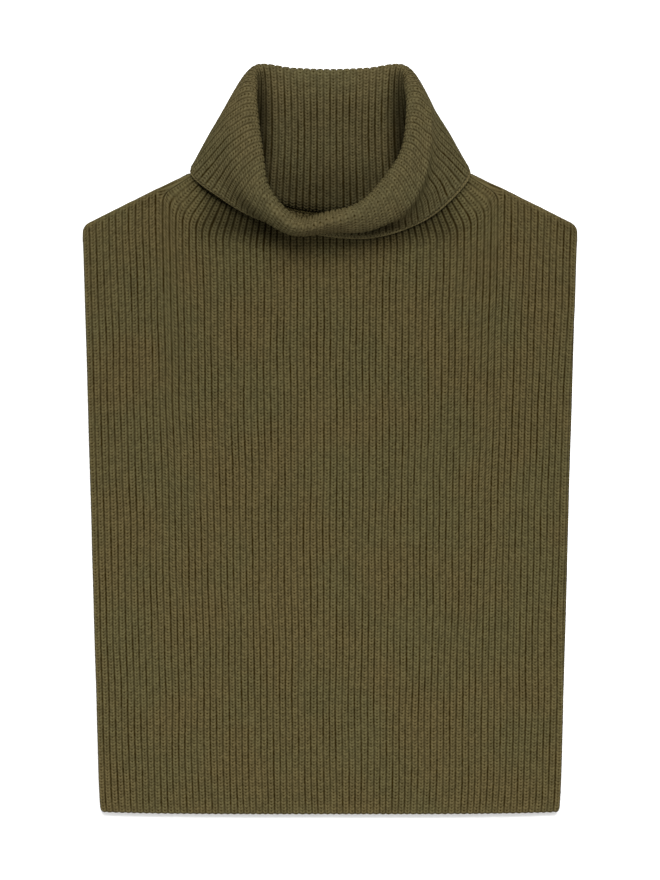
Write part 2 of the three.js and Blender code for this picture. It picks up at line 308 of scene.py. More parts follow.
    def grooves(self, n: NodeMaker, uv: bpy.types.Node, place: Socket, painted_shade: Socket) -> Socket:
        """Draws the grooves, each varying along its length.

        Args:
            n: the material's node maker.
            uv: the node that gives ribs counted across and courses counted along.
            place: 0 on a crest, growing to about 1 in a groove.
            painted_shade: the depth past 1, painted shade that widens the dark grooves.

        Returns:
            0 on a crest and about 1 in a groove.
        """
        start = n.math("SUBTRACT", self.groove_start, n.math("MULTIPLY", painted_shade, self.groove_spread))
        groove = n.ramp(place, start, 1.0, 0.0, 1.0)
        valley = n.add("ShaderNodeCombineXYZ", n.math("MULTIPLY", n.math("ROUND", uv.outputs[0]), 1.7),
                       n.math("MULTIPLY", uv.outputs[1], 0.06), 0.0)
        strength = n.ramp(n.noise(valley.outputs[0], 1.0), 0.3, 0.7, 1.0 - self.groove_change, 1.1)
        return n.math("MULTIPLY", groove, strength)


@dataclass(frozen=True)
class YarnFinish(WoolFinish):
    """Plain plied yarn, for linking chains and the bound-off edge."""

    fibre_scale: float = 2200.0
    cloud_scale: float = 160.0

    def build(self) -> Material:
        """Makes the yarn's material, with fine fibre bump and mottling.

        Returns:
            The material.
        """
        material, n = self.start()
        position = n.add("ShaderNodeTexCoord").outputs["Object"]
        fibre = n.noise(position, self.fibre_scale, 3.0)
        cloud = n.noise(position, self.cloud_scale)
        colour = n.mix(n.ramp(fibre, 0.3, 0.7, 0.0, 1.0), (*self.groove, 1.0), (*self.crest, 1.0))
        shade = n.ramp(cloud, 0.3, 0.7, 0.85, 1.15)
        n.paint(colour, shade)
        n.tree.links.new(n.bump(self.fibre_bump, 0.4 * MM, fibre), n.shader.inputs["Normal"])
        return material


@dataclass(frozen=True)
class RibKnit:
    """The 1x1 rib that every sheet is knitted in."""

    thickness: float = 4 * MM
    relief: float = 1.4 * MM
    course: float = 2.3 * MM
    places: tuple[float, ...] = (0.0, 0.07, 0.16, 0.3, 0.5, 0.7, 0.84, 0.93)
    heights: tuple[float, ...] = (0.0, 0.5, 0.82, 1.0, 0.93, 1.0, 0.82, 0.5, 0.0)

    def counts(self, ribs: int) -> np.ndarray:
        """Returns the rib coordinate of each mesh column over a number of ribs, without the last edge."""
        return (np.arange(ribs)[:, None] + np.array(self.places)[None, :]).ravel()

    def courses(self, middle: np.ndarray, ribs: int) -> np.ndarray:
        """Counts courses along the middle of each rib.

        Args:
            middle: positions by column and row.
            ribs: how many ribs there are.

        Returns:
            The courses from the first row, by rib and row.
        """
        crest = self.places.index(0.5)
        line = middle[crest::len(self.places)][:ribs]
        run = np.cumsum(np.linalg.norm(np.diff(line, axis=1), axis=-1), axis=1)
        return np.concatenate([np.zeros((ribs, 1)), run], 1) / self.course

    def height(self, across: np.ndarray) -> np.ndarray:
        """Returns the relief at a rib coordinate, 0 in a groove and 1 on a crest."""
        return np.interp(across % 1.0, (*self.places, 1.0), self.heights)

    def stand(self, across: np.ndarray, depth: np.ndarray) -> np.ndarray:
        """Returns how far a face stands from the middle of the sheet, by column and row."""
        return self.thickness / 2 - self.relief * depth * (1 - self.height(across))[:, None]


def waves(x: np.ndarray, y: np.ndarray, length: float, seed: float) -> np.ndarray:
    """Soft uneven waves between about -1 and 1.

    Args:
        x: places across, in metres.
        y: places along, in metres.
        length: the main wavelength, in metres.
        seed: moves the pattern.

    Returns:
        The height of the waves at each place.
    """
    k = 2 * math.pi / length
    total = np.sin(k * (0.9 * x + 0.35 * y) + seed) + np.sin(k * (-0.3 * x + 1.1 * y) + 2.1 * seed)
    total = total + 0.7 * np.sin(k * (1.7 * x - 0.8 * y) + 3.7 * seed)
    total = total + 0.5 * np.sin(k * (0.6 * x + 2.3 * y) + 5.3 * seed)
    return total / 3.2


def rise(value: np.ndarray, start: float | np.ndarray, length: float) -> np.ndarray:
    """Returns 0 up to start, then an even rise to 1 over a length."""
    return np.clip((value - start) / length, 0, 1)


def fall(value: np.ndarray, end: float, length: float) -> np.ndarray:
    """Returns 1, then an even fall to 0 over the length before end."""
    return np.clip((end - value) / length, 0, 1)


def rounded(distance: np.ndarray, radius: float) -> np.ndarray:
    """Returns 0 at an edge, rising as a quarter circle to 1 at radius from it."""
    inside = np.clip(1 - distance / radius, 0, 1)
    return np.sqrt(1 - inside**2)


def catmull(points: np.ndarray, where: np.ndarray, closed: bool) -> np.ndarray:
    """Centripetal curve through rows of points.

    Args:
        points: the points on the first axis; any further axes are curves side by side.
        where: places to read, counted in points.
        closed: whether the curve runs round to its start.

    Returns:
        The curve at each place, on the first axis.
    """
    count = len(points)
    start = np.floor(where).astype(int)
    if not closed:
        start = np.clip(start, 0, count - 2)
        first, last = 2 * points[0] - points[1], 2 * points[-1] - points[-2]
        points = np.concatenate([first[None], points, last[None]])
        corner = [points[start + k] for k in range(4)]
    else:
        corner = [points[(start + k - 1) % count] for k in range(4)]
    p0, p1, p2, p3 = corner
    gaps = [np.maximum(np.linalg.norm(b - a, axis=-1, keepdims=True), 1e-7) ** 0.5
            for a, b in ((p0, p1), (p1, p2), (p2, p3))]
    d0, d1, d2 = gaps
    m1 = ((p1 - p0) / d0 - (p2 - p0) / (d0 + d1) + (p2 - p1) / d1) * d1
    m2 = ((p2 - p1) / d1 - (p3 - p1) / (d1 + d2) + (p3 - p2) / d2) * d1
    t = (where - start).reshape(-1, *([1] * (p1.ndim - 1)))
    return ((2 * t**3 - 3 * t**2 + 1) * p1 + (t**3 - 2 * t**2 + t) * m1
            + (3 * t**2 - 2 * t**3) * p2 + (t**3 - t**2) * m2)


@dataclass
class KnitSheet:
    """A closed sheet of knit between two faces given on one grid of columns and rows.

    Its courses are counted along each rib by itself, so that every stitch has its own length.
    """

    name: str
    top: np.ndarray
    bottom: np.ndarray
    across: np.ndarray
    along: np.ndarray
    depth: np.ndarray
    around: bool = False

    def build(self) -> Piece:
        """Builds the sheet, with ribs and courses counted in its UV map.

        Returns:
            The sheet as an object.
        """
        columns, rows = self.top.shape[:2]
        index = np.arange(columns * rows).reshape(columns, rows)
        under = index + columns * rows
        right = np.roll(index, -1, axis=0) if self.around else index[1:]
        left = index if self.around else index[:-1]
        across_right = np.append(self.across[1:], self.across[0] + round(self.across[-1] + 0.5))
        across_right = across_right if self.around else self.across[1:]
        across_left = self.across if self.around else self.across[:-1]
        quads, uvs = [], []

        def face(corners: list[np.ndarray], places: list[tuple[np.ndarray, np.ndarray]]) -> None:
            """Adds one block of quads with their UVs."""
            quads.append(np.stack([c.ravel() for c in corners], -1))
            flat = [np.stack(np.broadcast_arrays(u, v), -1).reshape(-1, 2) for u, v in places]
            uvs.append(np.stack(flat, 1))

        course = self.along[np.floor(across_left + 1e-6).astype(int)]
        low, high = course[:, :-1], course[:, 1:]
        ul, ur = across_left[:, None], across_right[:, None]
        face([left[:, :-1], right[:, :-1], right[:, 1:], left[:, 1:]],
             [(ul, low), (ur, low), (ur, high), (ul, high)])
        shift = columns * rows
        face([left[:, :-1] + shift, left[:, 1:] + shift, right[:, 1:] + shift, right[:, :-1] + shift],
             [(ul + 0.5, low), (ul + 0.5, high), (ur + 0.5, high), (ur + 0.5, low)])
        for row, flip in ((0, True), (rows - 1, False)):
            ring = [left[:, row], right[:, row], right[:, row] + shift, left[:, row] + shift]
            face(ring[::-1] if flip else ring, [(across_left, course[:, row])] * 4)
        if not self.around:
            low = self.along[0, :-1]
            for column, flip in ((0, False), (columns - 1, True)):
                ring = [index[column, :-1], index[column, 1:], under[column, 1:], under[column, :-1]]
                u = np.full(rows - 1, self.across[column])
                face(ring[::-1] if flip else ring, [(u, low)] * 4)

        points = np.concatenate([self.top.reshape(-1, 3), self.bottom.reshape(-1, 3)])
        depth = np.tile(self.depth.ravel(), 2)
        return mesh_object(self.name, points, np.concatenate(quads), np.concatenate(uvs), depth)


def mesh_object(name: str, points: np.ndarray, quads: np.ndarray, uvs: np.ndarray,
                depth: np.ndarray) -> Piece:
    """Makes an object from quads, with its doubles merged and its faces pointing out.

    Args:
        name: the object's name.
        points: corner positions in metres.
        quads: four corner numbers to a face.
        uvs: four UV places to a face.
        depth: how deep the grooves are at each corner, 1 for the usual depth; past 1 it is painted shade.

    Returns:
        The object, at the origin.
    """
    mesh = bpy.data.meshes.new(name)
    mesh.vertices.add(len(points))
    mesh.vertices.foreach_set("co", points.astype(np.float32).ravel())
    mesh.loops.add(quads.size)
    mesh.loops.foreach_set("vertex_index", quads.astype(np.int32).ravel())
    mesh.polygons.add(len(quads))
    mesh.polygons.foreach_set("loop_start", np.arange(0, quads.size, 4, dtype=np.int32))
    layer = mesh.uv_layers.new(name="UVMap")
    mesh.update(calc_edges=True)
    layer.data.foreach_set("uv", uvs.astype(np.float32).ravel())
    mesh.attributes.new(DEPTH_AND_SHADE, "FLOAT", "POINT").data.foreach_set("value", depth.astype(np.float32))
    mesh.validate()
    obj = bpy.data.objects.new(name, mesh)
    bpy.context.scene.collection.objects.link(obj)
    select_only(obj)
    bpy.ops.object.mode_set(mode="EDIT")
    bpy.ops.mesh.select_all(action="SELECT")
    bpy.ops.mesh.remove_doubles(threshold=1e-6)
    bpy.ops.mesh.normals_make_consistent(inside=False)
    bpy.ops.object.mode_set(mode="OBJECT")
    bpy.ops.object.shade_smooth()
    return obj


def select_only(obj: Piece) -> None:
    """Makes one object the only one selected, and the active one."""
    bpy.ops.object.select_all(action="DESELECT")
    obj.select_set(True)
    bpy.context.view_layer.objects.active = obj


def dress(obj: Piece, material: Material) -> None:
    """Gives a piece its material."""
    obj.data.materials.clear()
    obj.data.materials.append(material)


@dataclass(frozen=True)
class Measures:
    """Sizes that every piece shares, read from the frame."""

    hem_y: float
    shoulder_half: float
    tip_y: float
    neck_point_y: float
    neck_half: float
    front_neck_y: float
    back_top: float
    front_base: float
    front_top: float
    hem_half: float = 177 * MM
    shoulder_start: float = 108.5 * MM
    front_neck_half: float = 104 * MM
    front_neck_depth: float = 37 * MM
    neck_rise: float = 0.4 * MM

    @property
    def neck_top_y(self) -> float:
        """Returns the height at which the front neckline meets the shoulders."""
        return self.neck_point_y + self.neck_rise

    @classmethod
    def read(cls) -> "Measures":
        """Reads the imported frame.

        Returns:
            Its measures, with the knit a little proud at the sides.
        """
        back, upper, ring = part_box("back_panel"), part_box("front_panel_upper"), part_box("neck_seam")
        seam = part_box("shoulder_seam_right")
        yarn = (ring[1][2] - ring[0][2]) / 2
        side_proud, seam_end, yarn_low = 0.3 * MM, 2.3 * MM, 1.2 * MM
        return cls(
            hem_y=back[0][1], shoulder_half=back[1][0] + side_proud, tip_y=seam[0][1] + seam_end,
            neck_point_y=seam[1][1], neck_half=ring[1][0] + yarn, front_neck_y=ring[0][1] + yarn_low,
            back_top=back[1][2], front_base=upper[0][2], front_top=upper[1][2],
        )

    @property
    def cut(self) -> tuple[float, float]:
        """Returns the width and the length that a panel is knitted to."""
        return 2 * self.shoulder_half, self.neck_point_y - self.hem_y

    def front_neckline(self, angle: np.ndarray) -> np.ndarray:
        """Returns plan points on the right half of the front neckline, from its centre at angle 0."""
        return np.stack([self.front_neck_half * np.sin(angle),
                         self.neck_top_y - self.front_neck_depth * np.cos(angle)], -1)

    def front_curve_share(self, x: np.ndarray, y: np.ndarray) -> np.ndarray:
        """Returns 1 on the front neckline, growing outwards."""
        return np.hypot(x / self.front_neck_half, (y - self.neck_top_y) / self.front_neck_depth)

    def half_width(self, y: np.ndarray) -> np.ndarray:
        """Returns the distance from the centre line to the side edge at y."""
        share = np.clip((y - self.hem_y) / (self.tip_y - self.hem_y), 0, 1)
        return self.hem_half + (self.shoulder_half - self.hem_half) * share

    def shoulder_y(self, x: np.ndarray) -> np.ndarray:
        """Returns the outer shoulder line at a distance from the centre line."""
        slope = (self.neck_point_y - self.tip_y) / (self.shoulder_half - self.shoulder_start)
        return self.tip_y + (self.shoulder_half - np.abs(x)) * slope


@dataclass
class Panel:
    """One knitted panel: hem and sides self-finished, shoulders and neckline linked."""

    measures: Measures
    knit: RibKnit = field(default_factory=RibKnit)
    ribs: int = 74
    rows_below: int = 40
    bend_rows: int = 5
    rows_above: int = 9
    edge_round: float = 1.7 * MM
    tip_radius: float = 5 * MM
    hem_radius: float = 3 * MM
    smooth_band: tuple[float, float] = (2.0 * MM, 5.0 * MM)
    hem_rows: tuple[float, ...] = (0.0, 0.4, 1.0, 1.8, 4.0, 7.0, 10.0, 14.0)
    wobble: float = 0.7 * MM
    unevenness: float = 0.4 * MM
    scallop: float = 0.4 * MM
    hem_draw: float = 0.7 * MM
    hem_bow: float = 1.7 * MM
    swell: float = 0.45 * MM
    scallop_reach: float = 5 * MM
    draw_reach: float = 9 * MM
    bow_reach: float = 60 * MM
    still_margin: float = 25 * MM
    bend_below: float = 10 * MM
    turn_reach: float = 6 * MM
    wobble_length: float = 150 * MM
    uneven_length: float = 40 * MM
    swell_length: float = 260 * MM
    shoulder_round: float = 2.5 * MM
    hem_calm: float = 0.6
    hem_calm_reach: float = 20 * MM
    seed: float = 1.0

    def bend_y(self, x: np.ndarray) -> np.ndarray:
        """Returns the height where each rib may turn towards the neck."""
        return self.end_points(x)[:, 1] - self.bend_below

    def end_points(self, x: np.ndarray) -> np.ndarray:
        """Returns where each rib ends at the shoulder or the neckline."""
        raise NotImplementedError

    def middle_z(self, x: np.ndarray, y: np.ndarray) -> np.ndarray:
        """Returns the height of the middle of the sheet."""
        raise NotImplementedError

    def side_inset(self, x: np.ndarray, y: np.ndarray) -> np.ndarray:
        """Returns how far in the sheet is drawn at each place across."""
        return np.zeros_like(x * y)

    def rib_paths(self, x0: np.ndarray) -> np.ndarray:
        """Lays out the ribs in plan.

        Args:
            x0: each column's place across at shoulder height.

        Returns:
            Plan positions by column and row.
        """
        m = self.measures
        bend, end = self.bend_y(x0), self.end_points(x0)
        corner = np.stack([x0, bend], -1)
        leave = end - corner
        length = np.linalg.norm(leave, axis=-1, keepdims=True)
        leave = leave / length
        reach = np.minimum(self.turn_reach, 0.45 * length)
        hem_rows = np.array(self.hem_rows) * MM
        share = np.linspace(0, 1, self.rows_below + 1)[1:]
        low = np.broadcast_to(m.hem_y + hem_rows, (len(x0), len(hem_rows)))
        top = (bend - reach[:, 0])[:, None]
        body_y = np.concatenate([low, low[:, -1:] + (top - low[:, -1:]) * share], 1)
        body = np.stack([x0[:, None] * m.half_width(body_y) / m.shoulder_half, body_y], -1)
        t = np.linspace(0, 1, self.bend_rows + 1)[1:, None]
        start, finish = corner - [0, 1] * reach, corner + leave * reach
        turn = ((1 - t) ** 2 * start[:, None] + 2 * t * (1 - t) * corner[:, None] + t**2 * finish[:, None])
        s = np.linspace(0, 1, self.rows_above + 1)[1:, None]
        upper = finish[:, None] + (end - finish)[:, None] * s
        return np.concatenate([body, turn, upper], 1)

    def depth(self, x: np.ndarray, y: np.ndarray) -> np.ndarray:
        """Says how deep the grooves are, shallow in the smooth band along the shoulder and at the hem.

        Args:
            x: places across.
            y: places along.

        Returns:
            The depth at each place, 1 for the usual depth.
        """
        m = self.measures
        start, end = self.smooth_band
        band = rise(m.shoulder_y(x) - y, start, end - start)
        return band * np.clip(self.hem_calm + (y - m.hem_y) / self.hem_calm_reach, 0, 1)

    def rounded_corners(self, x: np.ndarray, y: np.ndarray) -> np.ndarray:
        """Rounds off the shoulder tips and the hem's corners.

        Args:
            x: places across.
            y: places along.

        Returns:
            The places along, drawn back at the corners.
        """
        m = self.measures
        side = np.maximum(m.half_width(y) - np.abs(x), 0)

        def cut(radius: float) -> np.ndarray:
            """Returns how far a corner of a radius draws back."""
            into = np.clip(radius - side, 0, radius)
            return radius - np.sqrt(np.maximum(radius**2 - into**2, 0))

        top = np.clip((y - m.tip_y + 30 * MM) / (30 * MM), 0, 1)
        bottom = fall(y, m.hem_y + 20 * MM, 20 * MM)
        return y - cut(self.tip_radius) * top + cut(self.hem_radius) * bottom

    def sheet(self, name: str) -> Piece:
        """Builds the panel's sheet of knit.

        Args:
            name: the sheet's name.

        Returns:
            The sheet as an object.
        """
        m, knit = self.measures, self.knit
        across = np.append(knit.counts(self.ribs), float(self.ribs))
        x0 = (across / self.ribs - 0.5) * 2 * m.shoulder_half
        path = self.rib_paths(x0)
        x, y = path[..., 0], path[..., 1]
        depth = self.depth(x, y)
        edge = m.half_width(y) - np.abs(x)
        shoulder = np.maximum(m.shoulder_y(x) - y, 0)
        full = rounded(y - m.hem_y + self.scallop / 2, self.edge_round) * rounded(edge, self.edge_round)
        full = full * rounded(shoulder + 0.2 * MM, self.shoulder_round)
        y = self.rounded_corners(x, y)
        crest = (0.5 - 0.5 * np.cos(2 * math.pi * across))[:, None]
        y = y - (crest - 0.5) * self.scallop * np.exp(-(y - m.hem_y) / self.scallop_reach)
        draw = np.sign(x) * self.hem_draw * np.exp(-(y - m.hem_y) / self.draw_reach)
        x = x - draw * np.clip(np.abs(x) / m.hem_half, 0, 1)
        y = y - self.hem_bow * (1 - (x / m.hem_half) ** 4) * np.exp(-(y - m.hem_y) / self.bow_reach)
        sway = fall(np.abs(x), m.shoulder_half, self.still_margin)
        x = x + self.wobble * sway * waves(x, y, self.wobble_length, self.seed)
        rib_step = across[:, None] * 12 * MM
        x = x + self.unevenness * sway * waves(rib_step, 0.4 * y, self.uneven_length, self.seed + 7)
        x = x - self.side_inset(x, y)
        z = self.middle_z(x, y) + self.swell * waves(x, y, self.swell_length, self.seed + 2)
        top = np.stack([x, y, z + knit.stand(across, depth) * full], -1)
        bottom = np.stack([x, y, z - knit.stand(across + 0.5, depth) * full], -1)
        return KnitSheet(name, top, bottom, across, knit.courses(path, self.ribs), depth).build()


@dataclass
class FrontPanel(Panel):
    """The front panel, whose ribs fan in to the neck above a fashioned line."""

    fashion_x: tuple[float, ...] = (0, 60, 73, 91, 104, 115, 122, 127, 130)
    fashion_y: tuple[float, ...] = (149, 149.5, 152, 157, 165, 172.5, 179.5, 188, 192)
    fan_from: float = 35 * MM
    curl: float = 2.6 * MM
    curl_width: float = 5 * MM
    bend_below: float = 7 * MM
    fan_calm: float = 0.45
    # Depth added near the collar: grooves cut further in, and past 1 painted shadow under the collar.
    neck_deepening_and_shade: float = 0.95
    right_set_in: float = 2.2 * MM
    area: float = 0.171
    bend_over: tuple[float, float] = (4 * MM, -24 * MM)

    @property
    def fashion_end(self) -> float:
        """Returns how far from the centre line the fashioned line ends."""
        return self.fashion_x[-1] * MM

    def fashioned_y(self, x: np.ndarray) -> np.ndarray:
        """Returns the height of the fashioned line at a distance from the centre line."""
        return np.interp(np.abs(x), np.array(self.fashion_x) * MM, np.array(self.fashion_y) * MM)

    def bend_y(self, x: np.ndarray) -> np.ndarray:
        """Returns the fashioned line, and a line just under the shoulder beyond it."""
        outer = self.measures.shoulder_y(x) - self.bend_below
        return np.where(np.abs(x) < self.fashion_end, np.minimum(self.fashioned_y(x), outer), outer)

    def end_points(self, x: np.ndarray) -> np.ndarray:
        """Ends each rib, round the neckline or on the shoulder.

        Args:
            x: each rib's place across at shoulder height.

        Returns:
            Plan points, one to a rib.
        """
        m = self.measures
        last = self.fashion_end
        curve = m.front_neckline(np.linspace(0, math.pi / 2, 200))
        arc = np.concatenate([[0], np.cumsum(np.linalg.norm(np.diff(curve, axis=0), axis=-1))])
        start = np.interp(self.fan_from, curve[:, 0], arc)
        share = rise(np.abs(x), self.fan_from, last - self.fan_from)
        reach = np.where(np.abs(x) < self.fan_from, np.interp(np.abs(x), curve[:, 0], arc),
                         start + (arc[-1] - start) * share)
        fan_x, fan_y = (np.interp(reach, arc, curve[:, axis]) for axis in (0, 1))
        fan = np.stack([np.sign(x) * fan_x, fan_y], -1)
        straight = np.stack([x, m.shoulder_y(x)], -1)
        return np.where((np.abs(x) <= last)[:, None], fan, straight)

    def depth(self, x: np.ndarray, y: np.ndarray) -> np.ndarray:
        """Says how deep the grooves are, calm in the fans and growing deep towards the collar, where depth
        past 1 is painted shadow under the collar.

        Args:
            x: places across.
            y: places along.

        Returns:
            The depth at each place, 1 for the usual depth; past 1 it is also painted shadow.
        """
        near = fall(self.measures.front_curve_share(x, y), 1.75, 0.4)
        neck_depth_and_shade = self.neck_deepening_and_shade * near * fall(np.abs(x), 112 * MM, 20 * MM)
        # Painted shadow under the collar: weaker at the centre, and a little weaker on the right than on the
        # left.
        neck_depth_and_shade = neck_depth_and_shade * np.clip(np.abs(x) / (50 * MM), 0.25, 1) * (1 - 0.15 * rise(x, 0, 50 * MM))
        fan = rise(y, self.fashioned_y(x), 8 * MM) * rise(np.abs(x), 75 * MM, 25 * MM)
        fan = np.where(np.abs(x) < self.fashion_end, fan, 0)
        return super().depth(x, y) * (1 - self.fan_calm * fan) + neck_depth_and_shade

    def middle_z(self, x: np.ndarray, y: np.ndarray) -> np.ndarray:
        """Returns the sheet's height, curled down over the shoulder."""
        m = self.measures
        over = 1 - rounded(np.maximum(m.shoulder_y(x) - y, 0), self.curl_width)
        return (m.front_base + m.front_top) / 2 - self.curl * over

    def side_inset(self, x: np.ndarray, y: np.ndarray) -> np.ndarray:
        """Draws the right edge in a little, where the back panel shows beyond it."""
        share = rise(y, -200 * MM, 60 * MM) * fall(y, 100 * MM, 60 * MM)
        return self.right_set_in * share * rise(x, 120 * MM, 60 * MM)

    def build(self, finish: Material) -> Piece:
        """Builds the front panel.

        Args:
            finish: the knit's material.

        Returns:
            The dressed panel.
        """
        panel = self.sheet("front_panel_knit")
        dress(panel, finish)
        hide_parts("front_panel_upper", "front_panel")
        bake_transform(panel)
        return panel


@dataclass
class BackPanel(Panel):
    """The back panel, which the whole garment lies on."""

    neck_depth: float = 26 * MM
    below_neck_point: float = 0.4 * MM
    area: float = 0.172
    swell: float = 0.0
    seed: float = 4.0

    def end_points(self, x: np.ndarray) -> np.ndarray:
        """Ends each rib, at the neckline or on the shoulder.

        Args:
            x: each rib's place across at shoulder height.

        Returns:
            Plan points, one to a rib.
        """
        m = self.measures
        share = np.clip(x / m.neck_half, -1, 1)
        dip = m.neck_point_y - self.neck_depth * np.cos(share * math.pi / 2) ** 2
        y = np.minimum(dip, m.shoulder_y(x))
        return np.stack([x, np.minimum(y, m.neck_point_y - self.below_neck_point)], -1)

    def middle_z(self, x: np.ndarray, y: np.ndarray) -> np.ndarray:
        """Returns the sheet's height, flat on the table."""
        return np.full(np.broadcast(x, y).shape, self.measures.back_top / 2)

    def build(self, finish: Material) -> Piece:
        """Builds the back panel, riding on the root.

        Args:
            finish: the knit's material.

        Returns:
            The dressed panel.
        """
        panel = self.sheet("back_panel_knit")
        dress(panel, finish)
        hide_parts("back_panel")
        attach(panel, "root")
        return panel


@dataclass(frozen=True)
class Crease:
    """A soft ridge across the ribs of the collar, along part of its way round."""

    start: float
    end: float
    along: float
    height: float
    spread: float = 0.2

    def lift(self, around: np.ndarray, along: np.ndarray) -> np.ndarray:
        """Shapes the ridge.

        Args:
            around: places round the tube, from 0 to 1.
            along: places along it.

        Returns:
            How far the ridge stands out, by column and row.
        """
        middle, half = (self.start + self.end) / 2, (self.end - self.start) / 2
        reach = np.clip(1 - ((around - middle) / half) ** 2, 0, 1)
        rounding = np.exp(-(((along - self.along) / self.spread) ** 2))
        return self.height * reach[:, None] * rounding[None, :]


@dataclass
class RollCollar:
    """The knitted collar tube: a standing wall, a soft fold and a turned-down wall.

    Each loop runs from the front centre to the back centre, up the right and up the left side. A point is
    its distance across, its place along above the neck point and its height, all in millimetres.
    """

    measures: Measures
    knit: RibKnit = field(default_factory=RibKnit)
    ribs: int = 88
    first_row: float = 0.06
    last_row: float = 5.95
    cut: tuple[float, float] = (0.43, 0.195)
    ring_height: float = 6.3 * MM
    stretch_foot: tuple[float, float] = (3 * MM, 8 * MM)
    stretch_reach: tuple[float, float] = (14.6 * MM, 42.6 * MM)
    back_depth: float = 34 * MM
    back_fullness: float = 1.2
    mouth_calm: float = 0.55
    roll_calm: float = 0.25
    front_calm: float = 0.75
    # Depth added inside the tube and at the lip: past 1 it is painted shade, and below 1 it also cuts the
    # grooves further in.
    side_deepening_and_shade: float = 1.25
    side_band: tuple[float, float] = (39 * MM, 13 * MM)
    foot_deepening_and_shade: float = 0.65
    foot_band: tuple[float, float] = (28 * MM, 40 * MM)
    inside_deepening_and_shade: float = 0.24
    lip_deepening_and_shade: float = 1.0
    lip_place: float = 0.06
    lip_reach: float = 0.06
    front_reach: float = 0.12
    slope_deepening: float = 0.05
    creases: tuple[Crease, ...] = (
        Crease(0.12, 0.31, 3.95, 2.6 * MM, 0.17), Crease(0.68, 0.82, 4.0, 1.0 * MM),
        Crease(0.12, 0.32, 4.5, -2.0 * MM, 0.3),
    )
    right: tuple[tuple[Point, ...], ...] = (
        # waist of the standing wall
        ((0, -32, 20.6), (24, -29, 20.6), (45, -20, 18.6), (68, -3, 15.6), (82, 18, 12), (74, 29, 8.2),
         (54, 30, 8.2), (27, 29, 8.2), (0, 29, 8.2)),
        # mouth
        ((0, -34.5, 37.6), (24, -25.5, 37), (42, -6.5, 33.6), (55, 14, 27.6), (59.5, 40, 20.6),
         (59, 65, 12.6), (54, 78, 9), (28, 76, 8), (0, 75, 8)),
        # fold
        ((0, -39.5, 44.6), (28, -31, 44), (48, -11, 40.6), (61, 12, 34.1), (66, 41, 25.6), (65, 67, 13.6),
         (57, 81, 6), (28, 79, 5), (0, 78, 5)),
        # shoulder of the roll
        ((0, -46.2, 34), (30, -44.3, 33), (57, -29, 34), (71, -3, 31), (75.5, 32, 23.4), (73, 59, 8.5),
         (59, 77.5, 2.8), (28.5, 76, 2), (0, 75, 2)),
        # slope of the turned-down wall
        ((0, -37, 16), (30, -35, 13.4), (57, -35, 17), (79, -15, 17.5), (93.5, 13, 12), (84, 38, 2.8),
         (62, 40, 2), (30, 38, 2), (0, 38, 2)),
        # bound-off edge
        ((0, -47.6, 11.4), (30, -48.8, 11.2), (58, -41.6, 11.2), (83, -28, 11.4), (106.3, -0.5, 9.8),
         (98, 8.5, 3), (64, 4.5, 2), (32, 3.5, 2), (0, 3, 2)),
    )
    left: tuple[tuple[Point, ...], ...] = (
        # waist of the standing wall
        ((24, -36, 20), (47, -22, 18.6), (68, -3, 15.6), (82, 18, 12), (74, 29, 8.2), (54, 30, 8.2),
         (27, 29, 8.2)),
        # mouth
        ((24, -38.4, 36.4), (47, -15, 34.6), (52.5, 14, 28), (56, 40, 20.6), (57.5, 65, 12.6), (54, 78, 9),
         (28, 76, 8)),
        # fold
        ((26, -43.5, 42.8), (51, -19, 40.6), (58.5, 11, 34.1), (62.5, 41, 25.6), (63, 67, 13.6),
         (57, 81, 6), (28, 79, 5)),
        # shoulder of the roll
        ((30, -47.5, 34.5), (55, -28.5, 35.6), (71, -1, 30.6), (76.5, 32, 22.6), (73.5, 59, 7.5),
         (59, 77.5, 2.8), (28.5, 76, 2)),
        # slope of the turned-down wall
        ((31, -44.5, 24), (58, -31.2, 21.6), (79, -12, 19), (94, 14, 12.6), (84.5, 38, 2.8), (62, 40, 2),
         (30, 38, 2)),
        # bound-off edge
        ((30, -41.6, 13), (58, -33.6, 14.5), (83, -19.2, 14.5), (106.3, 0, 10), (98, 8.5, 3), (64, 4.5, 2),
         (32, 3.5, 2)),
    )

    def ring(self) -> np.ndarray:
        """Lays out the line that is linked to the panels.

        Returns:
            Its stations, in metres.
        """
        m = self.measures
        front = m.front_neckline(np.radians([0, 14, 28, 46, 70]))
        x = m.front_neck_half * np.array([0.88, 0.56, 0.28, 0])
        dip = np.cos(x / m.front_neck_half * math.pi / 2) ** self.back_fullness
        back = np.stack([x, m.neck_point_y - self.back_depth * dip], -1)
        half = np.concatenate([front, back])
        half = np.column_stack([half, np.full(len(half), self.ring_height)])
        return np.concatenate([half, half[-2:0:-1] * [-1, 1, 1]])

    def loops(self) -> np.ndarray:
        """Puts the listed points in their places.

        Returns:
            The control points by loop and station, in metres.
        """
        right, left = np.array(self.right, float), np.array(self.left, float)
        points = np.concatenate([right, left[:, ::-1] * [-1, 1, 1]], 1)
        points[..., 1] += self.measures.neck_point_y / MM
        return np.concatenate([self.ring()[None], points * MM])

    def surface(self, around: np.ndarray, along: np.ndarray) -> np.ndarray:
        """Returns the middle of the knit.

        Args:
            around: places round the tube, from 0 to 1.
            along: places from the linked edge, 0, over the fold, 3, to the bound-off edge, 6.

        Returns:
            Positions by column and row.
        """
        loops = self.loops()
        stations = catmull(np.swapaxes(loops, 0, 1), around * loops.shape[1], closed=True)
        grid = catmull(np.swapaxes(stations, 0, 1), along, closed=False)
        grid = np.swapaxes(grid, 0, 1)
        grid[..., 2] = np.maximum(grid[..., 2], self.knit.thickness / 2)
        return grid

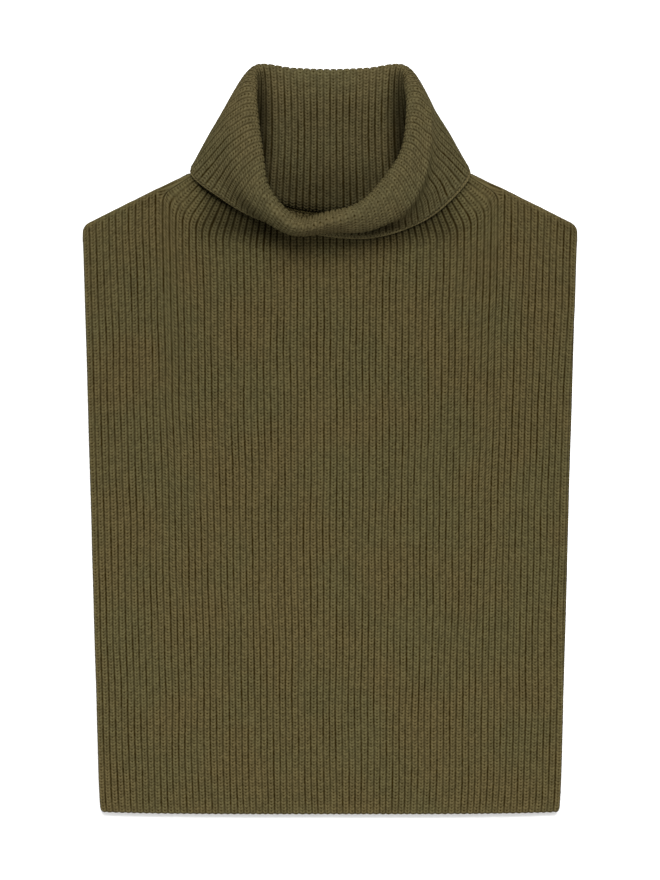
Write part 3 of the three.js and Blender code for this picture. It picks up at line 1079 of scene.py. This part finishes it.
    def normals(self, around: np.ndarray, along: np.ndarray) -> np.ndarray:
        """Finds the direction out of the side that shows.

        Args:
            around: places round the tube, from 0 to 1.
            along: places along it, from 0 to 6.

        Returns:
            Directions by column and row.
        """
        step = 0.0015
        side = self.surface((around + step) % 1, along) - self.surface((around - step) % 1, along)
        nearer, further = np.maximum(along - step, 0), np.minimum(along + step, 6)
        ahead = self.surface(around, further) - self.surface(around, nearer)
        out = np.cross(ahead, side)
        return out / np.maximum(np.linalg.norm(out, axis=-1, keepdims=True), 1e-12)

    def depth(self, around: np.ndarray, along: np.ndarray) -> np.ndarray:
        """Says how deep the grooves are: stretched shallow over the roll, with painted shade inside the
        tube, strongest at its sides and foot, and on a lip by the bound-off edge at the front right.

        Args:
            around: places round the tube, from 0 to 1.
            along: places along it, from 0 to 6.

        Returns:
            The depth by column and row, 1 for the usual depth and more where shade is painted.
        """
        place = self.surface(around, along)
        side = rise(np.abs(place[..., 0]), *self.side_band)
        foot_end, foot_length = self.foot_band
        foot = fall(place[..., 1], self.measures.neck_point_y + foot_end, foot_length)
        front = np.exp(-((np.minimum(around, 1 - around) / self.front_reach) ** 2))[:, None]
        lip = np.exp(-(((around - self.lip_place) / self.lip_reach) ** 2))[:, None] * rise(along, 4.9, 0.3)
        mouth = np.minimum(rise(along, 1.4, 0.4), fall(along, 3.1, 0.5))
        roll = np.minimum(rise(along, 1.5, 0.5), fall(along, 4.5, 0.7))
        brow = np.minimum(rise(along, 1.5, 0.5), fall(along, 5.5, 0.7))
        slope = np.minimum(rise(along, 4.2, 0.4), fall(along, 6, 0.3)) * (1 - front)
        edge = np.maximum(fall(along, 6.2, 0.5), 0.3)
        inside = fall(along, 2.3, 0.5)
        calm = np.maximum(self.mouth_calm * mouth, self.roll_calm * roll)
        depth = (1 - calm) * (1 - self.front_calm * front * brow)
        # Painted shade inside the tube, strongest at its sides and foot.
        well_depth_and_shade = inside * np.maximum(self.side_deepening_and_shade * side, self.foot_deepening_and_shade * foot)
        well_depth_and_shade = np.maximum(well_depth_and_shade, self.inside_deepening_and_shade * inside)
        # The lip adds painted shade by the bound-off edge at the front right.
        return edge * depth + self.slope_deepening * slope + well_depth_and_shade + self.lip_deepening_and_shade * lip

    def build(self, finish: Material) -> Piece:
        """Builds the collar tube.

        Args:
            finish: the knit's material.

        Returns:
            The dressed collar.
        """
        knit = self.knit
        across = knit.counts(self.ribs)
        around = across / self.ribs
        stretches = ((self.first_row, 2.2, 18), (2.3, 3.7, 16), (3.8, self.last_row, 28))
        along = np.concatenate([np.linspace(*stretch) for stretch in stretches])
        middle, out = self.surface(around, along), self.normals(around, along)
        for crease in self.creases:
            middle += out * crease.lift(around, along)[..., None]
        depth = self.depth(around, along)
        # The relief stops at the usual depth; the depth past it is painted shade.
        relief = np.minimum(depth, 1)
        top = middle + out * knit.stand(across, relief)[..., None]
        bottom = middle - out * knit.stand(across + 0.5, relief)[..., None]
        for face in (top, bottom):
            face[..., 2] = np.maximum(face[..., 2], 0.02 * MM)
        courses = knit.courses(middle, self.ribs)
        collar = KnitSheet("collar_knit", top, bottom, across, courses, depth, around=True).build()
        dress(collar, finish)
        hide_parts("collar_stand", "collar_turnover")
        self.stretch(collar)
        return collar

    def edge(self, along: float, count: int = 240) -> np.ndarray:
        """Returns a line round the tube at one place along it."""
        return self.surface(np.arange(count) / count, np.array([along]))[:, 0]

    def rim(self, count: int = 240) -> np.ndarray:
        """Lays out the bound-off edge, tucked in a little along the left.

        Args:
            count: how many points it has.

        Returns:
            The points, in metres.
        """
        left = np.clip(3 - 12 * np.abs(np.arange(count) / count - 0.75), 0, 1)[:, None]
        edge = self.edge(self.last_row, count)
        outward = self.edge(6.0, count) - edge
        outward /= np.linalg.norm(outward, axis=-1, keepdims=True)
        return edge + outward * (1.1 - 0.8 * left) * MM

    def stretch(self, piece: Piece) -> None:
        """Bakes a piece of the collar's place into its mesh."""
        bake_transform(piece)


@dataclass
class Chain:
    """A row of chain stitches of plied yarn along a line."""

    name: str
    line: np.ndarray
    closed: bool
    yarn: float = 0.55 * MM
    width: float = 1.5 * MM
    stitch: float = 2.5 * MM
    link_overlap: float = 1.25
    link_height: float = 0.9
    link_tilt: float = math.radians(14)

    def build(self, finish: Material, slot: str) -> Piece:
        """Builds the chain, one link copied along the line.

        Args:
            finish: the yarn's material.
            slot: not used.

        Returns:
            The dressed chain.
        """
        path = self.path()
        steps = np.diff(np.vstack([self.line, self.line[:1]]) if self.closed else self.line, axis=0)
        length = float(np.linalg.norm(steps, axis=-1).sum())
        count = max(2, round(length / self.stitch))
        pitch = length / count
        bpy.ops.object.select_all(action="DESELECT")
        bpy.ops.mesh.primitive_torus_add(major_segments=10, minor_segments=6, major_radius=self.width / 2,
                                         minor_radius=self.yarn)
        link = bpy.context.object
        link.name = link.data.name = self.name
        bpy.ops.object.mode_set(mode="EDIT")
        bpy.ops.mesh.select_all(action="SELECT")
        bpy.ops.transform.resize(value=(self.link_overlap * pitch / self.width, 1, self.link_height))
        bpy.ops.transform.rotate(value=self.link_tilt, orient_axis="Y", center_override=(0, 0, 0))
        bpy.ops.transform.translate(value=(pitch / 2, 0, 0))
        bpy.ops.object.mode_set(mode="OBJECT")
        array = link.modifiers.new("stitches", "ARRAY")
        array.count = count
        array.use_relative_offset = False
        array.use_constant_offset = True
        array.constant_offset_displace = (pitch, 0, 0)
        bend = link.modifiers.new("along line", "CURVE")
        bend.object = path
        for modifier in ("stitches", "along line"):
            bpy.ops.object.modifier_apply(modifier=modifier)
        bpy.data.objects.remove(path)
        bpy.ops.object.shade_smooth()
        dress(link, finish)
        return link

    def path(self) -> Piece:
        """Makes the line a curve.

        Returns:
            The curve as an object.
        """
        curve = bpy.data.curves.new(self.name + "_line", "CURVE")
        curve.dimensions = "3D"
        spline = curve.splines.new("POLY")
        spline.points.add(len(self.line) - 1)
        spline.points.foreach_set("co", np.column_stack([self.line, np.ones(len(self.line))]).ravel())
        spline.use_cyclic_u = self.closed
        obj = bpy.data.objects.new(self.name + "_line", curve)
        bpy.context.scene.collection.objects.link(obj)
        return obj


@dataclass
class Chains:
    """Every linking chain, and the bound-off edge."""

    measures: Measures
    collar: RollCollar
    under: float = 2.2 * MM
    neck_row: float = 0.04
    closing_place: float = 0.73
    closing_rows: tuple[float, float] = (3.5, 5.7)
    closing_under: float = 3.2 * MM
    seam_start: float = 112 * MM
    seam_short: float = 3 * MM
    seam_below: float = 1.6 * MM
    seam_height: float = 3.4 * MM

    def build(self, linking: Material, edging: Material) -> list[Piece]:
        """Builds the chains round the neck, along the shoulders, up the collar and round its edge.

        Args:
            linking: the linking yarn's material.
            edging: the bound-off edge's material.

        Returns:
            The chains.
        """
        edge = Chain("collar_edge_chain", self.collar.rim(), True, yarn=0.8 * MM, width=2.0 * MM)
        neck = Chain("neck_linking_chain", self.collar.edge(self.neck_row) - [0, 0, self.under], True)
        closing = Chain("collar_closing_chain", self.closing_line(), False)
        pieces = [edge.build(edging, "edge_yarn"), neck.build(linking, "seam_yarn"),
                  closing.build(linking, "seam_yarn")]
        for piece, node in zip(pieces, ("collar_edge", "neck_seam", "collar_closing_seam")):
            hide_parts(node)
            self.collar.stretch(piece)
        for side in Side:
            chain = Chain(f"shoulder_chain_{side.name.lower()}", self.shoulder_line(side), False)
            piece = chain.build(linking, "seam_yarn")
            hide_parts(f"shoulder_seam_{side.name.lower()}")
            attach(piece, "root")
            pieces.append(piece)
        return pieces

    def closing_line(self) -> np.ndarray:
        """Lays out the collar's closing seam, inside the turned-down wall at the left.

        Returns:
            The line's points, in metres.
        """
        around = np.array([self.closing_place])
        along = np.linspace(*self.closing_rows, 40)
        out = self.collar.normals(around, along)[0]
        return self.collar.surface(around, along)[0] - out * self.closing_under

    def shoulder_line(self, side: Side) -> np.ndarray:
        """Lays out one shoulder seam, under the curled edge of the front panel.

        Args:
            side: which shoulder.

        Returns:
            The line's points, in metres.
        """
        m = self.measures
        x = np.linspace(self.seam_start, m.shoulder_half - self.seam_short, 30)
        height = np.full(len(x), self.seam_height)
        return np.column_stack([side.value * x, m.shoulder_y(x) - self.seam_below, height])


@dataclass(frozen=True)
class Lamp:
    """One soft round lamp that points at the middle of the table."""

    name: str
    place: Point
    power: float
    size: float

    def hang(self) -> None:
        """Adds the lamp."""
        light = bpy.data.lights.new(self.name, "AREA")
        light.shape, light.size, light.energy = "DISK", self.size, self.power
        obj = bpy.data.objects.new(self.name, light)
        obj.location = self.place
        obj.rotation_euler = (-Vector(self.place)).to_track_quat("-Z", "Y").to_euler()
        bpy.context.scene.collection.objects.link(obj)


@dataclass
class Studio:
    """The pale table, the white surround, a large soft lamp, a weak one opposite, and the camera."""

    distance: float = 3.0
    view_height: float = 0.6776
    view_centre_y: float = -1.9 * MM
    film: float = 36.0
    table_white: Colour = (0.93, 0.93, 0.93)
    table_roughness: float = 0.8
    surround: float = 0.82
    lamps: tuple[Lamp, ...] = (
        Lamp("window", (0.15, 1.6, 2.6), 150.0, 1.9),
        Lamp("bounce", (-0.3, -1.5, 1.6), 9.0, 1.2),
    )

    def build(self) -> None:
        """Adds the floor, the light and the camera."""
        bpy.context.scene.view_settings.view_transform = "Standard"
        self.floor()
        self.world()
        for lamp in self.lamps:
            lamp.hang()
        self.camera()

    def floor(self) -> None:
        """Adds the table top."""
        bpy.ops.object.select_all(action="DESELECT")
        bpy.ops.mesh.primitive_plane_add(size=12)
        floor = bpy.context.object
        floor.name = "floor"
        material = bpy.data.materials.new("table_white")
        shader = NodeMaker(material).shader
        shader.inputs["Base Color"].default_value = (*self.table_white, 1)
        shader.inputs["Roughness"].default_value = self.table_roughness
        floor.data.materials.append(material)

    def world(self) -> None:
        """Adds the white surround."""
        world = bpy.data.worlds.new("surround")
        bpy.context.scene.world = world
        world.use_nodes = True
        background = world.node_tree.nodes["Background"]
        background.inputs[0].default_value = (1, 1, 1, 1)
        background.inputs[1].default_value = self.surround

    def camera(self) -> None:
        """Adds the camera, straight above."""
        camera = bpy.data.cameras.new("camera")
        camera.sensor_fit = "VERTICAL"
        camera.sensor_height = self.film
        camera.lens = self.film * self.distance / self.view_height
        camera.clip_end = 20.0
        obj = bpy.data.objects.new("camera", camera)
        obj.location = (0, self.view_centre_y, self.distance)
        bpy.context.scene.collection.objects.link(obj)
        bpy.context.scene.camera = obj


# Each groove colour is painted shade for the rib grooves and the gaps between stitch legs, far darker than
# the yarn itself.
FRONT_FINISH = RibKnitFinish("front_rib_knit", crest=(0.073, 0.0575, 0.0245),
                             groove=(0.015, 0.0085, 0.0005), faded=(0.067, 0.058, 0.0252))
# The back panel's colours are the front's made a tenth darker: painted shade for where the back shows from
# under the front panel.
BACK_FINISH = RibKnitFinish("back_rib_knit", crest=(0.066, 0.052, 0.022),
                            groove=(0.0135, 0.0077, 0.0005), faded=(0.06, 0.052, 0.0227))
COLLAR_FINISH = RibKnitFinish("collar_rib_knit", crest=(0.072, 0.0585, 0.0268),
                              groove=(0.015, 0.009, 0.0007), faded=(0.067, 0.0585, 0.0272))
EDGE_FINISH = YarnFinish("bound_off_yarn", crest=(0.085, 0.07, 0.033), groove=(0.05, 0.04, 0.016))
LINKING_FINISH = YarnFinish("linking_yarn", crest=(0.06, 0.048, 0.018), groove=(0.03, 0.023, 0.008))


def main() -> None:
    """Builds the dickey on its frame, and the studio round it."""
    logging.basicConfig(level=logging.INFO, format="%(name)s: %(message)s")
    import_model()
    measures = Measures.read()
    Studio().build()
    collar = RollCollar(measures)
    pieces = [
        FrontPanel(measures).build(FRONT_FINISH.build()),
        BackPanel(measures).build(BACK_FINISH.build()),
        collar.build(COLLAR_FINISH.build()),
    ]
    pieces += Chains(measures, collar).build(LINKING_FINISH.build(), EDGE_FINISH.build())
    for piece in pieces:
        log.info("%s: %d faces", piece.name, len(piece.data.polygons))


if __name__ == "__main__":
    main()
